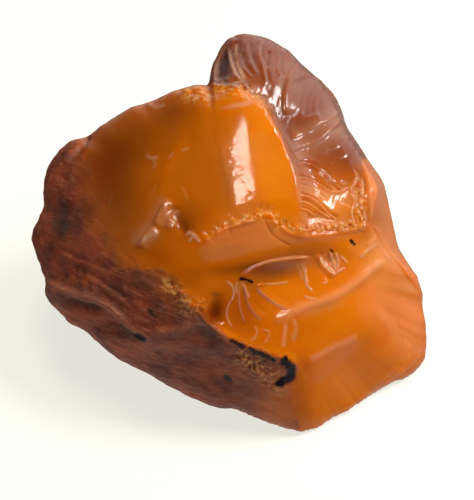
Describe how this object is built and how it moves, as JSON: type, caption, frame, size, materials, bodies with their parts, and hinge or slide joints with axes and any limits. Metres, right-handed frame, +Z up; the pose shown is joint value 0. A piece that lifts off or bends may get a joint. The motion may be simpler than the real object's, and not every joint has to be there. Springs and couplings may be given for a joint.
{
  "type": "raw amber piece",
  "caption": "Raw lump of see-through orange amber with shell-like fracture faces and a rough brown crust, lying on a flat underside; for display or study.",
  "frame": {"origin": "on the flat underside that the piece rests on, below the middle of the piece as the picture sees it", "axes": "+Z up, +X to the right as the picture sees the piece, along its longest side, and +Y away from the eye"},
  "size_m": [0.0637, 0.0577, 0.0423],
  "materials": {
    "amber": "satin fracture faces, see-through orange, with a matte red-brown crust on the left and below"
  },
  "bodies": {
    "root": {"amber_piece": "amber"}
  },
  "joints": []
}
